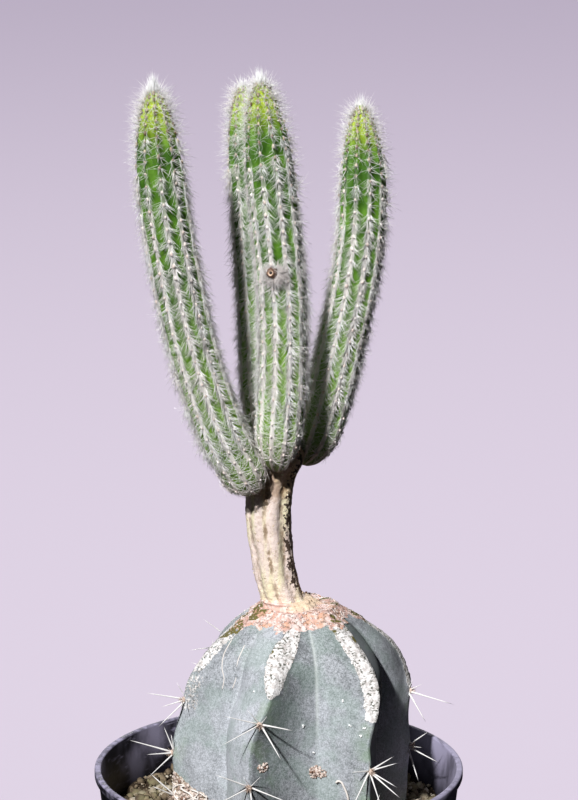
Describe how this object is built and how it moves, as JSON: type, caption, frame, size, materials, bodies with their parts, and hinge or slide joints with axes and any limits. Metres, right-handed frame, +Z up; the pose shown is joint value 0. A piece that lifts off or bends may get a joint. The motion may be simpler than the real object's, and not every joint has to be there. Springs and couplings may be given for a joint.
{
  "type": "potted grafted lambs tail cactus",
  "caption": "Slender hairy cactus with upright arms, grafted on a squat ribbed spiny rootstock and standing in gritty soil in a plain black nursery pot.",
  "frame": {"origin": "centre of the pot's foot ring, on the surface that the pot stands on", "axes": "+Z up, -Y towards the plant's front, +X to the right seen from the front"},
  "size_m": [0.1, 0.1, 0.2832],
  "materials": {
    "pot_plastic": "satin",
    "potting_grit": "matte",
    "rootstock_skin": "matte",
    "corky_bark": "matte",
    "hairy_stem": "matte"
  },
  "bodies": {
    "root": {"pot": "pot_plastic", "soil": "potting_grit", "rootstock": "rootstock_skin", "trunk": "corky_bark", "arm_left": "hairy_stem", "arm_front": "hairy_stem", "arm_right": "hairy_stem", "arm_back": "hairy_stem"}
  },
  "joints": []
}
